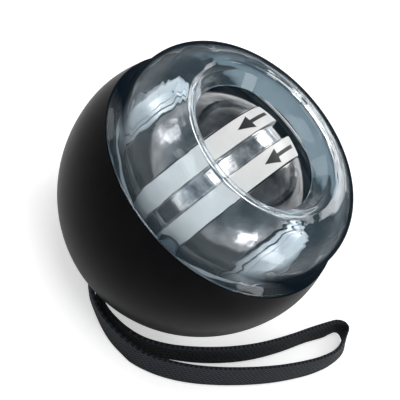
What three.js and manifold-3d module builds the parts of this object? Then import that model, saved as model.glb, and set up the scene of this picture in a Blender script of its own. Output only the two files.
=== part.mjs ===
// Gyroscopic wrist ball with an automatic starter.
// Millimetres, +Z up. The ball rests on z = 0, its axis is the Z axis and its axle lies along X.
import * as THREE from 'three'
import { mergeVertices } from 'three/addons/utils/BufferGeometryUtils.js'
import Module from 'manifold-3d'

const wasm = await Module()
wasm.setup()

// Driving sizes of the ball
const coverRadius = 36           // widest radius, over the grip cover at the equator
const footCut = 2                // how much the flat foot takes off the ball's height
const bowlBeyond = 4.4           // how far the cover's curve would reach below its flat foot
const crownDrop = 5.5            // how much lower the cover's upper curve is than a ball
const coverTop = 9.9             // cover's top edge above the equator
const curvePower = 1.94          // exponent of the lower body's rounded outline
const coverWall = 2.0            // rubber thickness on the side
const coverEdge = 0.7            // rubber thickness at the top edge
const coverBead = 0.3            // bevels on both sides of the joint above that edge
const footWall = 1.5             // rubber thickness under the shell
const wallStep = 1.63            // how far the clear wall stands in from the shell's widest radius
const flareHeight = 4.3          // how far the clear shell's base widens, down to the cover's edge
const flareInside = 0.5          // how much the hollow widens behind it
const shellWall = 1.5            // clear shell's thickness
const cupWall = 4.3              // both shells' thickness at the equator, with the race groove in it
const shoulderRadius = 10.2      // rounding from the wall to the top rim
const rimRadius = 3.0            // rounding of the top rim towards the opening
const funnelLength = 3.9         // straight slope from the rim down to the opening
const funnelTurn = 60            // degrees of that slope from level
const lipPlay = 2.17             // running clearance between the rotor and the opening's edge
const rotorPlay = 4.2            // running clearance between the rotor and the hollow
const gap = 0.3                  // clearance between separate pieces

// Race groove and ring
const tipRadius = 1.5            // axle and its tips
const tipPlay = 0.35             // play of the tips and of the ring in the groove
const tipEnd = 1.3               // room between the axle's end and the bottom of the groove
const raceBack = 1.7             // shell left behind the groove
const raceLip = 1                // groove's upper corner, blended into the wall
const ringWidth = 4.1

// Rotor; its bands follow a ball of the rotor's radius
const domeStep = 0.2             // how far the polished domes lie inside that ball
const grooveHalf = 2.45          // half width of the bright groove between the bands
const bandWidth = 5.2
const bandWall = 0.8
const domePlay = 0.8             // room between a dome's flat end and the housing's plate
const domeWall = 1.3
const hubRadius = 5.2
const hubStep = 1                // how far the hub stands out of the rim
const rimDepth = 7.4             // radial depth of the core's metal rim
const rimStepShare = 1 / 3       // share of that depth at the rim's full width

// End housings; each outer end follows a ball
const casePlay = 0.7             // clearance between that ball and the shells' hollow
const caseWall = 2.3
const plateWall = 1.1
const bushDepth = 3              // how deep the bush's seat lies under the outer end
const bushRadius = 2.9
const bushLength = 1.5
const bushWall = 1               // wall of the boss round a bush
const chamberPlay = 1.6          // room between the pawl carrier and the housing's wall
const screwWall = 0.7            // wall on both sides of a screw's head
const caseScrewCount = 3
const caseScrewTurn = 60         // first screw, degrees from straight up towards -Y
const screwShank = 0.75
const screwHead = 1.4
const screwHeadHeight = 0.9
const screwDepth = 5.1           // how deep the heads bear under the outer end
const hookLength = 5             // slot on top of a housing for the spring's outer hook
const hookWide = 0.9
const hookDeep = 1.2
const hookInset = 4.1            // slot's near side under the outer end

// Starter
const springTurns = 5
const springStrip = 0.35         // strip thickness
const springWidth = 2.0
const springPlay = 0.5           // room between the spring and what it winds between
const springSide = 0.4           // room between the spring and the plate
const drumRadius = 3.9
const carrierRim = 0.7           // carrier outside the pawls' eyes
const carrierWall = 0.7
const pawlWall = 0.7
const pawlPlay = 0.7             // room between the pawls and the bush's seat
const pawlEye = 1.3
const pawlArm = 0.8              // width of the arm and of its tip
const pawlHook = 0.7             // height of the hooked tip
const pawlPin = 0.6
const pawlAcross = 3.4           // pawl pivot, sideways from the axle
const pawlLift = 0.35            // how far a lifted pawl stays clear of the teeth
const ratchetTeeth = 8
const ratchetTip = 3.4
const ratchetRoot = 2.6
const ratchetRampShare = 0.9     // share of a tooth's pitch that its ramp takes
const pawlCount = 2

// Strap lug, slot and pin, on the -Y side of the foot
const strapWidth = 7
const strapThick = 1.0
const pinRadius = 1.0
const pinInset = 0.315           // pin's axis inside the edge of the flat foot
const pinFoot = 0.5
const pinTop = 9.4
const lugHalf = 4.5
const lugBehind = 3.4            // lug behind the pin's axis, and before it
const lugBefore = 3.6
const lugTop = 9.8
const slotLeft = 2.7
const slotRight = 3.4
const slotBehind = 2.6           // slot's back, behind the pin's axis
const slotFoot = 1.0
const slotTop = 8.6
const windowLeft = 4.8           // opening in the rubber that clears the lug and the strap
const windowRight = 6.5
const windowTop = 8.9
const windowBehind = 0.4         // that opening's back, behind the lug
const footRecess = 0.6
const footRecessRadius = 11

// Moulded half disc at the foot of the clear wall
const nubRadius = 2.9
const nubShow = 1.6              // how far it shows above the cover
const nubTurn = -78.5            // degrees from +X

const aroundShell = 38           // steps round the shells
const aroundRotor = 36
const aroundSmall = 12
const bowlSteps = 7
const flareSteps = 3
const weldTolerance = 1e-4
const overrun = 2                // how far a cutter reaches past what it cuts

// Places worked out from those sizes; radii are from the ball's axis or middle, and the places along
// the axle from the ball's middle
const centreHeight = coverRadius - footCut              // equator, race groove and axle above the foot
const coverDepth = centreHeight + bowlBeyond
const coverCrown = coverRadius - crownDrop
const shellGrip = coverRadius - coverWall - gap         // shell's radius under the cover
const wallRadius = shellGrip - wallStep                 // clear shell's upright wall
const cavityRadius = shellGrip - cupWall                // hollow that the rotor and the ring turn in
const raceRadius = shellGrip - raceBack                 // bottom of the groove
const ringOuter = raceRadius - gap
const ringInner = ringOuter - ringWidth
const axleHalf = raceRadius - tipEnd                    // half length of the axle
const rotorRadius = cavityRadius - rotorPlay
const domeRadius = rotorRadius - domeStep
const caseCrown = cavityRadius - casePlay
const caseInner = caseCrown - caseWall
const bushStart = caseCrown - bushDepth
const screwSeat = caseCrown - screwDepth
const hookPlace = caseCrown - hookInset
const pawlStart = bushStart - pawlPlay - pawlWall
const carrierEnd = pawlStart - gap
const carrierStart = carrierEnd - carrierWall
const springStart = carrierStart - springPlay - springWidth
const plateEnd = springStart - springSide
const plateStart = plateEnd - plateWall                 // plate's face on the rotor's side
const domeEnd = plateStart - domePlay
const pawlAbove = ratchetTip + pawlLift + pawlHook      // pawl pivot, above the axle
const carrierRadius = Math.hypot(pawlAcross, pawlAbove) + pawlEye + carrierRim
const chamberRadius = carrierRadius + chamberPlay
const caseScrewCircle = chamberRadius + screwWall + gap + screwHead
const caseRadius = caseScrewCircle + screwHead + gap + screwWall
const springInner = drumRadius + springPlay
const springOuter = chamberRadius - springPlay
const shoulderCentre = wallRadius - shoulderRadius      // circle at the highest points of the top rim
const funnelSlope = THREE.MathUtils.degToRad(funnelTurn)
const funnelInset = rimRadius * Math.sin(funnelSlope) + funnelLength * Math.cos(funnelSlope)
const mouthRadius = shoulderCentre - funnelInset        // thumb opening

const finishes = {
  clear: { color: 0xb9cdd8, roughness: 0.06, metalness: 0, transparent: true, opacity: 0.35 },
  cup: { color: 0x8fa3ae, roughness: 0.2, metalness: 0 },
  rubber: { color: 0x1e1f21, roughness: 0.55, metalness: 0 },
  webbing: { color: 0x16191f, roughness: 0.85, metalness: 0 },
  nylon: { color: 0xd9dcdd, roughness: 0.4, metalness: 0 },
  silver: { color: 0xcfd5d9, roughness: 0.3, metalness: 0.2 },
  chrome: { color: 0xc4c6ca, roughness: 0.08, metalness: 1 },
  darkChrome: { color: 0x77777c, roughness: 0.08, metalness: 1 },
  white: { color: 0xe6e6e6, roughness: 0.45, metalness: 0 },
  steel: { color: 0x9b9da0, roughness: 0.3, metalness: 1 },
  bronze: { color: 0xa67c45, roughness: 0.4, metalness: 1 },
  spring: { color: 0x55606e, roughness: 0.35, metalness: 1 },
}

// Solids

// Joins shared corners, drops triangles that closed up at a pole, and turns the faces outwards.
function weld(geometry) {
  const bare = geometry.index ? geometry.toNonIndexed() : geometry.clone()
  for (const name of Object.keys(bare.attributes)) if (name !== 'position') bare.deleteAttribute(name)
  const merged = mergeVertices(bare, weldTolerance)
  const p = merged.attributes.position
  const corner = (i) => new THREE.Vector3().fromBufferAttribute(p, i)
  const kept = []
  let volume = 0
  for (let i = 0; i < merged.index.count; i += 3) {
    const [a, b, c] = [0, 1, 2].map((k) => merged.index.getX(i + k))
    if (a === b || b === c || c === a) continue
    kept.push([a, b, c])
    volume += corner(a).dot(corner(b).cross(corner(c)))
  }
  const faces = volume < 0 ? kept.map(([a, b, c]) => [a, c, b]) : kept
  merged.setIndex(faces.flat())
  return merged
}

function toSolid(geometry) {
  const g = weld(geometry)
  const vertProperties = Float32Array.from(g.attributes.position.array)
  const triVerts = Uint32Array.from(g.index.array)
  return new wasm.Manifold(new wasm.Mesh({ numProp: 3, vertProperties, triVerts }))
}

function fromSolid(solid) {
  const mesh = solid.getMesh()
  const g = new THREE.BufferGeometry()
  g.setAttribute('position', new THREE.BufferAttribute(Float32Array.from(mesh.vertProperties), 3))
  g.setIndex(Array.from(mesh.triVerts))
  return g
}

// body with the added pieces joined on and then the cut pieces taken out
function carve(body, cuts, adds = []) {
  let solid = toSolid(body)
  for (const add of adds) solid = solid.add(toSolid(add))
  for (const cut of cuts) solid = solid.subtract(toSolid(cut))
  return fromSolid(solid)
}

// A closed outline of [radius, height] turned about Z, with heights from the equator
function turnedZ(outline, steps = aroundShell) {
  const points = outline.map(([r, z]) => new THREE.Vector2(r, z))
  const g = new THREE.LatheGeometry([...points, points[0].clone()], steps)
  g.rotateX(Math.PI / 2).translate(0, 0, centreHeight)
  return weld(g)
}

// A closed outline of [distance along X, radius] turned about the axle
function turnedX(outline, steps = aroundRotor) {
  const points = outline.map(([x, r]) => new THREE.Vector2(r, x))
  const g = new THREE.LatheGeometry([...points, points[0].clone()], steps)
  g.rotateZ(-Math.PI / 2).translate(0, 0, centreHeight)
  return weld(g)
}

// A box from one corner to the other
function boxFrom([x0, y0, z0], [x1, y1, z1]) {
  const g = new THREE.BoxGeometry(x1 - x0, y1 - y0, z1 - z0)
  return g.translate((x0 + x1) / 2, (y0 + y1) / 2, (z0 + z1) / 2)
}

// A rod along X from x0 to x1, at (y, z) seen from the axle
function rodX(radius, x0, x1, y, z, steps = aroundSmall) {
  const g = new THREE.CylinderGeometry(radius, radius, Math.abs(x1 - x0), steps)
  return g.rotateZ(Math.PI / 2).translate((x0 + x1) / 2, y, z + centreHeight)
}

// An upright rod round the strap pin's axis, from z0 to z1
function rodZ(radius, z0, z1) {
  const g = new THREE.CylinderGeometry(radius, radius, z1 - z0, aroundSmall)
  return g.rotateX(Math.PI / 2).translate(0, -pinPlace, (z0 + z1) / 2)
}

// The other end's copy of a piece: turned half round about Z
const otherEnd = (geometry) => geometry.clone().rotateZ(Math.PI)

// Distance from the axis of a point on a ball, x along the axis
const ballAt = (radius, x) => Math.sqrt(radius ** 2 - x ** 2)

// Points of the ball of the given radius, as [x, r], from one place along to another
function ballArc(radius, from, to, steps) {
  return Array.from({ length: steps + 1 }, (_, i) => {
    const along = from + (to - from) * i / steps
    return [along, ballAt(radius, along)]
  })
}

function arc(cx, cy, radius, fromDegrees, toDegrees, steps) {
  return Array.from({ length: steps + 1 }, (_, i) => {
    const a = THREE.MathUtils.degToRad(fromDegrees + (toDegrees - fromDegrees) * i / steps)
    return [cx + radius * Math.cos(a), cy + radius * Math.sin(a)]
  })
}

// Lower body outline, from the equator down to depth: a rounded curve between a circle and a square
function bowl(radius, depth, foot, steps) {
  const footShare = foot / depth
  const last = Math.asin(footShare ** (curvePower / 2))
  return Array.from({ length: steps + 1 }, (_, i) => {
    const a = last * i / steps
    return [radius * Math.cos(a) ** (2 / curvePower), -depth * Math.sin(a) ** (2 / curvePower)]
  })
}

// Radius of that curve at a height z below the equator
const bowlAt = (radius, depth, z) => radius * (1 - (-z / depth) ** curvePower) ** (1 / curvePower)

// Radius of the cover's outside above the equator
const crownAt = (z) => coverRadius * Math.sqrt(1 - (z / coverCrown) ** 2)

// Shells and cover

const raceHalf = tipRadius + tipPlay
const mouthHeight = ballAt(rotorRadius + lipPlay, mouthRadius)             // opening's top edge
const rimRise = funnelLength * Math.sin(funnelSlope) + rimRadius * (1 - Math.cos(funnelSlope))
const rimHeight = mouthHeight + rimRise
const shoulderHeight = rimHeight - shoulderRadius                          // where the rounding starts
const shellFoot = centreHeight - footWall - gap        // shell's flat foot below the equator
const shellDepth = coverDepth - footWall - gap
const wallInside = wallRadius - shellWall
const lapDepth = 2.5                                   // how far the upper shell's skirt reaches down
const lapMiddle = (raceRadius + shellGrip) / 2
const flareFoot = coverTop + gap
const flareRadius = crownAt(coverTop)                  // flush with the cover's edge
const skirtShares = [0.3, 0.6, 0.85]                   // heights along the covered part of the wall

// Points down the base of the wall, which widens with the square of the way down
function flare(radius, widening, foot) {
  return Array.from({ length: flareSteps + 1 }, (_, i) => {
    const down = i / flareSteps
    const top = flareFoot + flareHeight
    return [radius + widening * down ** 2, top + (foot - top) * down]
  })
}

function upperShell() {
  const skirtFoot = bowlAt(shellGrip, shellDepth, -lapDepth)
  const skirt = skirtShares.map((share) => {
    const z = coverTop * share
    return [crownAt(z) - coverWall - gap, z]
  })
  const innerShoulder = shoulderRadius - shellWall
  const rimCentre = rimHeight - rimRadius
  const rimEnd = 90 + funnelTurn
  const lipTop = raceHalf + raceLip
  const outline = [
    [raceRadius, gap / 2],
    [lapMiddle + gap / 2, gap / 2],
    [lapMiddle + gap / 2, -lapDepth],
    [skirtFoot, -lapDepth],
    [shellGrip, 0],
    ...skirt,
    [flareRadius - coverEdge - gap, flareFoot],
    [flareRadius - coverBead, flareFoot],
    ...flare(wallRadius, flareRadius - wallRadius, flareFoot + coverBead).reverse(),
    ...arc(shoulderCentre, shoulderHeight, shoulderRadius, 0, 90, 7),
    ...arc(shoulderCentre, rimCentre, rimRadius, 90, rimEnd, 3).slice(1),
    [mouthRadius, mouthHeight],
    [mouthRadius + shellWall * Math.sin(funnelSlope), mouthHeight - shellWall * Math.cos(funnelSlope)],
    ...arc(shoulderCentre, rimCentre, rimRadius - shellWall, rimEnd, 90, 2).slice(0, -1),
    ...arc(shoulderCentre, shoulderHeight, innerShoulder, 90, 0, 5),
    ...flare(wallInside, flareInside, flareFoot),
    [wallInside + flareInside, lipTop + raceLip],
    [cavityRadius, lipTop],
    [cavityRadius, raceHalf],
    [raceRadius, raceHalf],
  ]
  const nubMiddle = flareFoot + nubShow - nubRadius
  const disc = rodX(nubRadius, wallInside + flareInside + gap, flareRadius, 0, nubMiddle)
  const below = boxFrom([0, -nubRadius, 0], [coverRadius, nubRadius, centreHeight + flareFoot])
  const nub = carve(disc, [below]).rotateZ(THREE.MathUtils.degToRad(nubTurn))
  return carve(turnedZ(outline), [], [nub])
}

// Strap pin's place from the ball's axis, and the back of the lug round it
const pinPlace = bowlAt(coverRadius, coverDepth, -centreHeight) - pinInset
const lugBack = pinPlace - lugBehind

function lowerShell() {
  const skirtEnd = -lapDepth - gap
  const outline = [
    [raceRadius, -gap / 2],
    [raceRadius, -raceHalf],
    ...arc(0, 0, cavityRadius, -Math.asin(raceHalf / cavityRadius) * 180 / Math.PI, -90, 7),
    [0, -shellFoot],
    ...bowl(shellGrip, shellDepth, shellFoot, bowlSteps).reverse().slice(0, -1),
    [bowlAt(shellGrip, shellDepth, skirtEnd), skirtEnd],
    [lapMiddle - gap / 2, skirtEnd],
    [lapMiddle - gap / 2, -gap / 2],
  ]
  const inside = turnedZ([
    [0, 0],
    ...bowl(coverRadius - gap, coverDepth - gap, centreHeight - gap, bowlSteps),
    [0, -centreHeight + gap],
  ])
  const block = boxFrom([-lugHalf, -pinPlace - lugBefore, 0], [lugHalf, -lugBack, lugTop])
  const lug = fromSolid(toSolid(block).intersect(toSolid(inside)))
  const slotBack = pinPlace - slotBehind
  const slot = boxFrom([-slotLeft, -coverRadius, slotFoot], [slotRight, -slotBack, slotTop])
  return carve(turnedZ(outline), [slot, rodZ(pinRadius + gap, pinFoot - gap, pinTop + gap)], [lug])
}

function gripCover() {
  const heights = skirtShares.map((share) => coverTop * share)
  const rise = heights.map((z) => [crownAt(z), z])
  const inner = heights.map((z) => [crownAt(z) - coverWall, z]).reverse()
  const outline = [
    [0, -centreHeight + footRecess],
    [footRecessRadius, -centreHeight + footRecess],
    [footRecessRadius + footRecess, -centreHeight],
    ...bowl(coverRadius, coverDepth, centreHeight, bowlSteps).reverse(),
    ...rise,
    [crownAt(coverTop - coverBead), coverTop - coverBead],
    [crownAt(coverTop) - coverBead, coverTop],
    [crownAt(coverTop) - coverEdge, coverTop],
    ...inner,
    ...bowl(coverRadius - coverWall, coverDepth - footWall, centreHeight - footWall, bowlSteps),
    [0, -centreHeight + footWall],
  ]
  const back = lugBack - windowBehind
  const opening = boxFrom([-windowLeft, -coverRadius, -overrun], [windowRight, -back, windowTop])
  return carve(turnedZ(outline), [opening])
}

// Wrist strap: a flat woven loop that leaves the slot on its edge, lies round the ball and comes back.
// Each row is x, y, how far the lower edge is lifted off the floor, and the lean in degrees of the
// top edge towards the inside of the loop.
const strapRoute = [
  [-1.9, -14.0, 1.25, 0], [-1.9, -15.8, 1.25, 0], [-1.6, -17.6, 1.2, 0],
  [-0.7, -19.8, 0.9, -10], [0.9, -21.7, 0.5, -22], [3.4, -23.4, 0.1, -30], [7.2, -24.8, 0, -30],
  [11.0, -25.6, 0, -24], [15.0, -25.7, 0, -16], [19.2, -24.9, 0, -9], [23.3, -23.4, 0, -2],
  [29.5, -18.6, 0, 8], [36.0, -11.4, 0, 14], [43.2, -1.0, 0, 18], [50.2, 11.2, 0, 20],
  [55.6, 23.0, 0, 20], [58.3, 31.0, 0, 20], [59.2, 36.0, 0, 23], [59.2, 40.2, 0, 31],
  [58.8, 43.0, 0, 33], [57.8, 45.2, 0, 31], [56.1, 46.1, 0, 22], [54.4, 45.3, 0, 0],
  [53.0, 43.0, 0, -14], [52.0, 40.0, 0, -19], [49.4, 32.5, 0, -17], [46.0, 21.5, 0, -18],
  [42.0, 10.8, 0, -17],
  [37.6, 1.8, 0, -14], [32.7, -6.3, 0, -9], [27.5, -13.3, 0, -2], [23.2, -17.9, 0, 4],
  [18.8, -21.2, 0, 11], [14.0, -22.9, 0, 19], [9.2, -23.1, 0, 27], [5.6, -22.3, 0.1, 29],
  [3.2, -20.9, 0.4, 22], [2.0, -19.0, 0.9, 10], [1.7, -17.3, 1.2, 0],
  [1.9, -15.8, 1.25, 0], [1.9, -14.0, 1.25, 0],
]
const strapSteps = 76
const strapTension = 0.5
const floorGap = 0.1             // the webbing's fuzz under its lower edge

// The strap's middle line; its frame keeps the webbing's width upright, leaned by the route's angle.
class StrapCurve extends THREE.CatmullRomCurve3 {
  constructor(rows) {
    const points = rows.map(([x, y, lift, lean]) => {
      const a = THREE.MathUtils.degToRad(Math.abs(lean))
      const half = (strapWidth * Math.cos(a) + strapThick * Math.sin(a)) / 2
      return new THREE.Vector3(x, y, lift + half + floorGap)
    })
    super(points, false, 'catmullrom', strapTension)
    this.leans = rows.map((row) => row[3])
  }

  computeFrenetFrames(segments) {
    const tangents = []
    const normals = []
    const binormals = []
    for (let i = 0; i <= segments; i++) {
      const u = this.getUtoTmapping(i / segments) * (this.leans.length - 1)
      const low = Math.min(Math.floor(u), this.leans.length - 2)
      const degrees = THREE.MathUtils.lerp(this.leans[low], this.leans[low + 1], u - low)
      const lean = THREE.MathUtils.degToRad(degrees)
      const tangent = this.getTangentAt(i / segments)
      const side = new THREE.Vector3(tangent.y, -tangent.x, 0).normalize()
      const up = side.clone().cross(tangent)
      const width = up.clone().multiplyScalar(Math.cos(lean)).addScaledVector(side, -Math.sin(lean))
      tangents.push(tangent)
      normals.push(width)
      binormals.push(tangent.clone().cross(width))
    }
    return { tangents, normals, binormals }
  }
}

function wristStrap() {
  const w = strapWidth / 2
  const t = strapThick / 2
  const edge = t / 2
  const oneSide = [[w, -edge], [w, edge], [w - edge, t], [edge - w, t]]
  const otherSide = oneSide.map(([x, y]) => [-x, -y])
  const section = new THREE.Shape([...oneSide, ...otherSide].map(([x, y]) => new THREE.Vector2(x, y)))
  const extrudePath = new StrapCurve(strapRoute)
  console.log('strap length mm', extrudePath.getLength().toFixed(1))
  return weld(new THREE.ExtrudeGeometry(section, { steps: strapSteps, extrudePath, bevelEnabled: false }))
}

// Ring and end housings

function raceRing() {
  const lower = [[ringInner, -tipRadius], [ringOuter, -tipRadius]]
  const upper = [[ringOuter, tipRadius], [ringInner, tipRadius]]
  const half = tipRadius + gap
  const low = centreHeight - overrun
  const high = centreHeight + overrun
  const notch = boxFrom([ringInner - overrun, -half, low], [axleHalf + gap, half, high])
  return carve(turnedZ([...lower, ...upper]), [notch, otherEnd(notch)])
}

const screwAngles = Array.from({ length: caseScrewCount }, (_, i) => {
  return THREE.MathUtils.degToRad(caseScrewTurn + i * 360 / caseScrewCount)
})
const screwPlaces = screwAngles.map((a) => [-caseScrewCircle * Math.sin(a), caseScrewCircle * Math.cos(a)])
const domeFoot = plateEnd + gap                        // housing's open end
const bossRadius = bushRadius + gap + bushWall

// Right-hand end housing, made pointing to +X
function endHousing() {
  const hollowEnd = Math.sqrt(caseInner ** 2 - chamberRadius ** 2)
  const shoulder = Math.sqrt(caseCrown ** 2 - (caseRadius - gap) ** 2)
  const bushEnd = bushStart + bushLength + gap
  const bossEnd = Math.sqrt(caseInner ** 2 - bossRadius ** 2)
  const outline = [
    [domeFoot, chamberRadius],
    [domeFoot, caseRadius],
    [shoulder - 4 * gap, caseRadius],
    ...ballArc(caseCrown, shoulder + gap, caseCrown - gap, 4),
    [caseCrown - gap, tipRadius + gap],
    [bushEnd, tipRadius + gap],
    [bushEnd, bushRadius + gap],
    [bushStart - gap, bushRadius + gap],
    [bushStart - gap, bossRadius],
    ...ballArc(caseInner, bossEnd, hollowEnd, 4),
  ]
  const ringGroove = turnedZ([
    [ringInner - gap, -tipRadius - gap],
    [cavityRadius + overrun, -tipRadius - gap],
    [cavityRadius + overrun, tipRadius + gap],
    [ringInner - gap, tipRadius + gap],
  ])
  const holes = screwPlaces.flatMap(([y, z]) => [
    rodX(screwHead + gap, screwSeat, caseCrown, y, z),
    rodX(screwShank + gap, plateStart - overrun, screwSeat + gap, y, z),
  ])
  const floor = centreHeight + ballAt(caseCrown, hookPlace) - hookDeep
  const hookEnd = hookPlace + hookWide
  const hookSlot = boxFrom([hookPlace, -hookLength / 2, floor], [hookEnd, hookLength / 2, floor + caseRadius])
  return carve(turnedX(outline), [ringGroove, ...holes, hookSlot])
}

// A washer round the axle from x0 to x1
function washer(radius, x0, x1, steps) {
  const bore = tipRadius + gap
  return turnedX([[x0, bore], [x0, radius], [x1, radius], [x1, bore]], steps)
}

function housingPlate() {
  const from = plateStart - overrun
  const holes = screwPlaces.map(([y, z]) => rodX(screwShank + gap, from, plateEnd + overrun, y, z))
  return carve(washer(caseRadius, plateStart, plateEnd), holes)
}

// Screw along X at (y, z): shank from the plate, head outwards
function housingScrew([y, z]) {
  const head = rodX(screwHead, screwSeat + gap, screwSeat + gap + screwHeadHeight, y, z)
  const shank = rodX(screwShank, plateStart + gap, screwSeat + gap + screwHeadHeight / 2, y, z)
  return carve(head, [], [shank])
}

// Starter

// Flat spiral strip between the drum and the housing's wall
function mainspring() {
  const perTurn = 24
  const steps = Math.round(springTurns * perTurn)
  const inner = springInner + springStrip / 2
  const middle = (i) => inner + (springOuter - springInner - springStrip) * i / steps
  const place = (i, offset) => {
    const a = 2 * Math.PI * i / perTurn
    return new THREE.Vector2((middle(i) + offset) * Math.cos(a), (middle(i) + offset) * Math.sin(a))
  }
  const count = Array.from({ length: steps + 1 }, (_, i) => i)
  const outer = count.map((i) => place(i, springStrip / 2))
  const back = count.map((i) => place(i, -springStrip / 2)).reverse()
  const turnGaps = count.slice(0, steps + 1 - perTurn).map((i) => {
    return place(i, springStrip / 2).distanceTo(place(i + perTurn, -springStrip / 2))
  })
  console.log('least gap between the mainspring turns mm', Math.min(...turnGaps).toFixed(2))
  const strip = new THREE.Shape([...outer, ...back])
  const g = new THREE.ExtrudeGeometry(strip, { depth: springWidth, bevelEnabled: false })
  return weld(g.rotateY(Math.PI / 2).translate(springStart, 0, centreHeight))
}

function springArbor() {
  const outline = [
    [springStart, tipRadius + gap],
    [springStart, drumRadius],
    [carrierStart, drumRadius],
    [carrierStart, carrierRadius],
    [carrierEnd, carrierRadius],
    [carrierEnd, tipRadius + gap],
  ]
  const from = carrierStart - overrun
  const holes = pawlPivots.map(([y, z]) => rodX(pawlPin + gap, from, carrierEnd + overrun, y, z))
  return carve(turnedX(outline, aroundShell / 2), holes)
}

const pawlPivots = Array.from({ length: pawlCount }, (_, i) => {
  const side = i % 2 === 0 ? 1 : -1
  return [-side * pawlAcross, side * pawlAbove]
})

function pawlPivotPin([y, z]) {
  return rodX(pawlPin, carrierStart, pawlStart + pawlWall, y, z)
}

// A flat piece drawn as (sideways, up) about the axle, standing across X from the pawls' plane
function acrossAxle(shape) {
  const settings = { depth: pawlWall, bevelEnabled: false, curveSegments: aroundSmall }
  const g = new THREE.ExtrudeGeometry(shape, settings)
  const across = new THREE.Matrix4().makeBasis(
    new THREE.Vector3(0, 1, 0), new THREE.Vector3(0, 0, 1), new THREE.Vector3(1, 0, 0))
  return weld(g.applyMatrix4(across).translate(pawlStart, 0, centreHeight))
}

// A pawl in its lifted place: an eye on the pivot and a hooked arm whose tip stays clear of the teeth
function pawl(index) {
  const tipHeight = ratchetTip + pawlLift
  const shape = new THREE.Shape()
  shape.absarc(-pawlAcross, pawlAbove, pawlEye, Math.PI / 3, 1.6 * Math.PI, false)
  shape.lineTo(-pawlArm * 2, pawlAbove - pawlArm / 2)
  shape.lineTo(-pawlArm / 2, tipHeight)
  shape.lineTo(pawlArm / 2, tipHeight)
  shape.lineTo(pawlArm / 2, pawlAbove + pawlArm / 2)
  const hole = new THREE.Path()
  hole.absarc(-pawlAcross, pawlAbove, pawlPin + gap, 0, 2 * Math.PI, true)
  shape.holes.push(hole)
  const g = acrossAxle(shape)
  return g.translate(0, 0, -centreHeight).rotateX(index * Math.PI).translate(0, 0, centreHeight)
}

function ratchetWheel() {
  const points = Array.from({ length: ratchetTeeth }, (_, i) => {
    const a = Math.PI / 2 + 2 * Math.PI * (i + 0.5) / ratchetTeeth
    const back = a - 2 * Math.PI * ratchetRampShare / ratchetTeeth
    return [
      new THREE.Vector2(ratchetRoot * Math.cos(back), ratchetRoot * Math.sin(back)),
      new THREE.Vector2(ratchetTip * Math.cos(a), ratchetTip * Math.sin(a)),
    ]
  }).flat()
  const shape = new THREE.Shape(points)
  const hole = new THREE.Path()
  hole.absarc(0, 0, tipRadius + gap, 0, 2 * Math.PI, true)
  shape.holes.push(hole)
  return acrossAxle(shape)
}

// Rotor

const bandEnd = grooveHalf + bandWidth
const bandSeat = Math.sqrt(rotorRadius ** 2 - bandEnd ** 2) - bandWall - gap

function rotorCore() {
  const land = grooveHalf - gap
  const landRadius = bandSeat + bandWall
  const web = grooveHalf
  const hubEnd = bandEnd + hubStep
  const half = [
    [land, landRadius],
    [land, bandSeat],
    [bandEnd, bandSeat],
    [bandEnd, bandSeat - rimDepth * rimStepShare],
    [bandEnd - hubStep, bandSeat - rimDepth],
    [web, bandSeat - rimDepth],
    [web, hubRadius],
    [hubEnd, hubRadius],
    [hubEnd, tipRadius + gap],
  ]
  const mirrored = half.map(([x, r]) => [-x, r]).reverse()
  return turnedX([...half, ...mirrored])
}

function stripeBand() {
  const outline = [
    ...ballArc(rotorRadius, grooveHalf, bandEnd, 3),
    [bandEnd, bandSeat + gap],
    [grooveHalf, bandSeat + gap],
  ]
  return turnedX(outline)
}

function rotorDome() {
  const start = bandEnd + gap
  const inner = domeRadius - domeWall
  const flat = domeEnd - domeWall
  const sleeve = hubRadius - domeWall
  const outline = [
    ...ballArc(domeRadius, start, domeEnd, 6),
    [domeEnd, tipRadius + gap],
    [bandEnd + hubStep + gap, tipRadius + gap],
    [bandEnd + hubStep + gap, sleeve],
    [flat, sleeve],
    [flat, ballAt(inner, flat)],
    ...ballArc(inner, flat - domeWall, start, 3),
  ]
  return turnedX(outline)
}

function axle() {
  const chamfer = gap
  const half = [[axleHalf - chamfer, tipRadius], [axleHalf, tipRadius - chamfer]]
  const outline = [...half.map(([x, r]) => [-x, r]).reverse(), ...half]
  return turnedX([[-axleHalf, 0], ...outline, [axleHalf, 0]], aroundSmall)
}

// Assembly

const ball = new THREE.Group()

function add(name, finish, geometry) {
  const mesh = new THREE.Mesh(geometry, new THREE.MeshStandardMaterial(finishes[finish]))
  mesh.name = name
  ball.add(mesh)
}

add('upper_shell', 'clear', upperShell())
add('lower_shell', 'cup', lowerShell())
add('grip_cover', 'rubber', gripCover())
add('strap_pin', 'steel', rodZ(pinRadius, pinFoot, pinTop))
add('wrist_strap', 'webbing', wristStrap())

add('race_ring', 'nylon', raceRing())
const housing = endHousing()
const plate = housingPlate()
const bearing = washer(bushRadius, bushStart, bushStart + bushLength, aroundSmall)
const screws = screwPlaces.map(housingScrew)
add('spring_case', 'silver', housing)
add('bearing_case', 'silver', otherEnd(housing))
add('spring_case_plate', 'silver', plate)
add('bearing_case_plate', 'silver', otherEnd(plate))
add('spring_bush', 'bronze', bearing)
add('bearing_bush', 'bronze', otherEnd(bearing))
screws.forEach((screw, i) => {
  add(`spring_case_screw_${i + 1}`, 'steel', screw)
  add(`bearing_case_screw_${i + 1}`, 'steel', otherEnd(screw))
})
add('mainspring', 'spring', mainspring())

add('spring_arbor', 'nylon', springArbor())
pawlPivots.forEach((pivot, i) => {
  add(`pawl_pin_${i + 1}`, 'steel', pawlPivotPin(pivot))
  add(`pawl_${i + 1}`, 'steel', pawl(i))
})

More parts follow.
